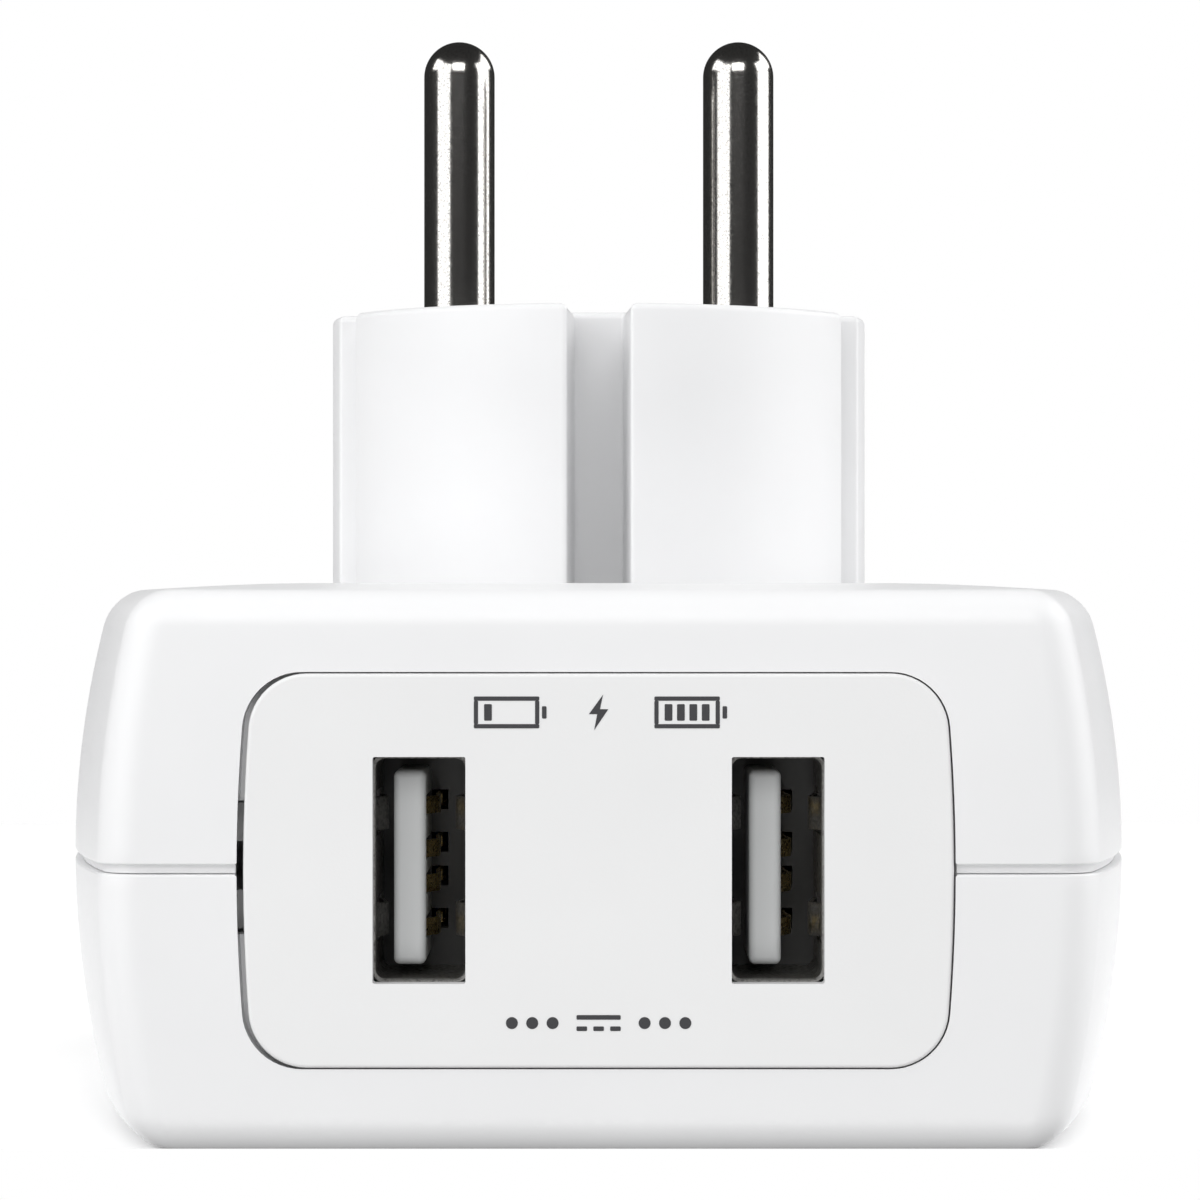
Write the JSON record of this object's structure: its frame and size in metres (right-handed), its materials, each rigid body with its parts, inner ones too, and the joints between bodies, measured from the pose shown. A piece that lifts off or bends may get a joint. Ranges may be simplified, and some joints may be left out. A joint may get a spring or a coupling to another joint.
{
  "type": "usb wall charger",
  "caption": "Wall charger that plugs straight into a round European mains socket and feeds USB-A plugs from sockets in its flat end face.",
  "frame": {"origin": "midway between the two pins' axes, on the plug's flat engagement face", "axes": "+Z is the way the pins point, out of the wall side; -Y is the way the USB sockets face; +X is the right-hand side when looking at the USB sockets with the pins up"},
  "size_m": [0.0648, 0.0812, 0.0693],
  "materials": {
    "shell_plastic": "satin white moulded plastic, smooth with a faint waviness",
    "panel_plastic": "fine-textured white moulded plastic",
    "pin_metal": "nickel-plated brass, bright",
    "screw_steel": "zinc-plated steel",
    "socket_metal": "nickel-plated steel sheet",
    "contact_gold": "gold-plated bronze",
    "tongue_plastic": "off-white moulded insulator",
    "dark_plastic": "black moulded insulator",
    "retainer_plastic": "glass-filled nylon",
    "board_green": "glass-epoxy laminate with green solder resist",
    "solder_metal": "tinned",
    "chip_black": "moulded epoxy",
    "mark_ink": "printed marks",
    "can_sleeve": "shrunk plastic sleeve",
    "ceramic_blue": "dipped epoxy coating",
    "film_yellow": "moulded plastic case",
    "ferrite": "sintered ferrite",
    "copper_wire": "enamelled copper",
    "tape_yellow": "polyester tape",
    "fuse_body": "moulded fuse body",
    "heatsink_metal": "bare aluminium",
    "wire_brown": "soft insulation",
    "wire_blue": "soft insulation",
    "sheet_white": "thin polyester sheet"
  },
  "bodies": {
    "charger": {"rear_shell": "shell_plastic", "front_shell": "shell_plastic", "socket_panel": "panel_plastic", "shell_screws": "screw_steel", "line_pin": "pin_metal", "neutral_pin": "pin_metal", "pin_retainer": "retainer_plastic", "retainer_screws": "screw_steel", "line_wire": "wire_brown", "neutral_wire": "wire_blue", "main_board": "board_green", "board_screws": "screw_steel", "board_small_parts": "chip_black", "left_port_shell": "socket_metal", "left_port_tongue": "tongue_plastic", "left_port_block": "dark_plastic", "left_port_tails": "contact_gold", "right_port_shell": "socket_metal", "right_port_tongue": "tongue_plastic", "right_port_block": "dark_plastic", "right_port_tails": "contact_gold", "fuse": "fuse_body", "surge_varistor": "ceramic_blue", "filter_capacitor": "film_yellow", "bridge_rectifier": "chip_black", "filter_choke_core": "ferrite", "filter_choke_winding": "copper_wire", "input_capacitors": "can_sleeve", "transformer_core": "ferrite", "transformer_bobbin": "dark_plastic", "transformer_winding": "tape_yellow", "switching_controller": "chip_black", "optocoupler": "chip_black", "bridging_capacitor": "ceramic_blue", "output_diode": "chip_black", "diode_heatsink": "heatsink_metal", "output_capacitors": "can_sleeve", "output_choke_core": "ferrite", "output_choke_winding": "copper_wire", "insulating_sheet": "sheet_white"},
    "left_contact_1": {"left_contact_1": "contact_gold"},
    "left_contact_2": {"left_contact_2": "contact_gold"},
    "left_contact_3": {"left_contact_3": "contact_gold"},
    "left_contact_4": {"left_contact_4": "contact_gold"},
    "right_contact_1": {"right_contact_1": "contact_gold"},
    "right_contact_2": {"right_contact_2": "contact_gold"},
    "right_contact_3": {"right_contact_3": "contact_gold"},
    "right_contact_4": {"right_contact_4": "contact_gold"}
  },
  "joints": [
    {"name": "left_contact_1_flex", "type": "hinge", "parent": "charger", "child": "left_contact_1", "pos_m": [-0.00942, -0.03742, -0.03078], "axis": [0, 0, -1], "range_deg": [0, 4], "stiffness_Nm_per_rad": 0.02},
    {"name": "left_contact_2_flex", "type": "hinge", "parent": "charger", "child": "left_contact_2", "pos_m": [-0.00942, -0.03742, -0.03328], "axis": [0, 0, -1], "range_deg": [0, 4], "stiffness_Nm_per_rad": 0.02},
    {"name": "left_contact_3_flex", "type": "hinge", "parent": "charger", "child": "left_contact_3", "pos_m": [-0.00942, -0.03742, -0.03528], "axis": [0, 0, -1], "range_deg": [0, 4], "stiffness_Nm_per_rad": 0.02},
    {"name": "left_contact_4_flex", "type": "hinge", "parent": "charger", "child": "left_contact_4", "pos_m": [-0.00942, -0.03742, -0.03778], "axis": [0, 0, -1], "range_deg": [0, 4], "stiffness_Nm_per_rad": 0.02},
    {"name": "right_contact_1_flex", "type": "hinge", "parent": "charger", "child": "right_contact_1", "pos_m": [0.01088, -0.03742, -0.03078], "axis": [0, 0, -1], "range_deg": [0, 4], "stiffness_Nm_per_rad": 0.02},
    {"name": "right_contact_2_flex", "type": "hinge", "parent": "charger", "child": "right_contact_2", "pos_m": [0.01088, -0.03742, -0.03328], "axis": [0, 0, -1], "range_deg": [0, 4], "stiffness_Nm_per_rad": 0.02},
    {"name": "right_contact_3_flex", "type": "hinge", "parent": "charger", "child": "right_contact_3", "pos_m": [0.01088, -0.03742, -0.03528], "axis": [0, 0, -1], "range_deg": [0, 4], "stiffness_Nm_per_rad": 0.02},
    {"name": "right_contact_4_flex", "type": "hinge", "parent": "charger", "child": "right_contact_4", "pos_m": [0.01088, -0.03742, -0.03778], "axis": [0, 0, -1], "range_deg": [0, 4], "stiffness_Nm_per_rad": 0.02}
  ],
  "couplings": [
    {"joint": "left_contact_2_flex", "follows": "left_contact_1_flex", "ratio": 1},
    {"joint": "left_contact_3_flex", "follows": "left_contact_1_flex", "ratio": 1},
    {"joint": "left_contact_4_flex", "follows": "left_contact_1_flex", "ratio": 1},
    {"joint": "right_contact_2_flex", "follows": "right_contact_1_flex", "ratio": 1},
    {"joint": "right_contact_3_flex", "follows": "right_contact_1_flex", "ratio": 1},
    {"joint": "right_contact_4_flex", "follows": "right_contact_1_flex", "ratio": 1}
  ]
}
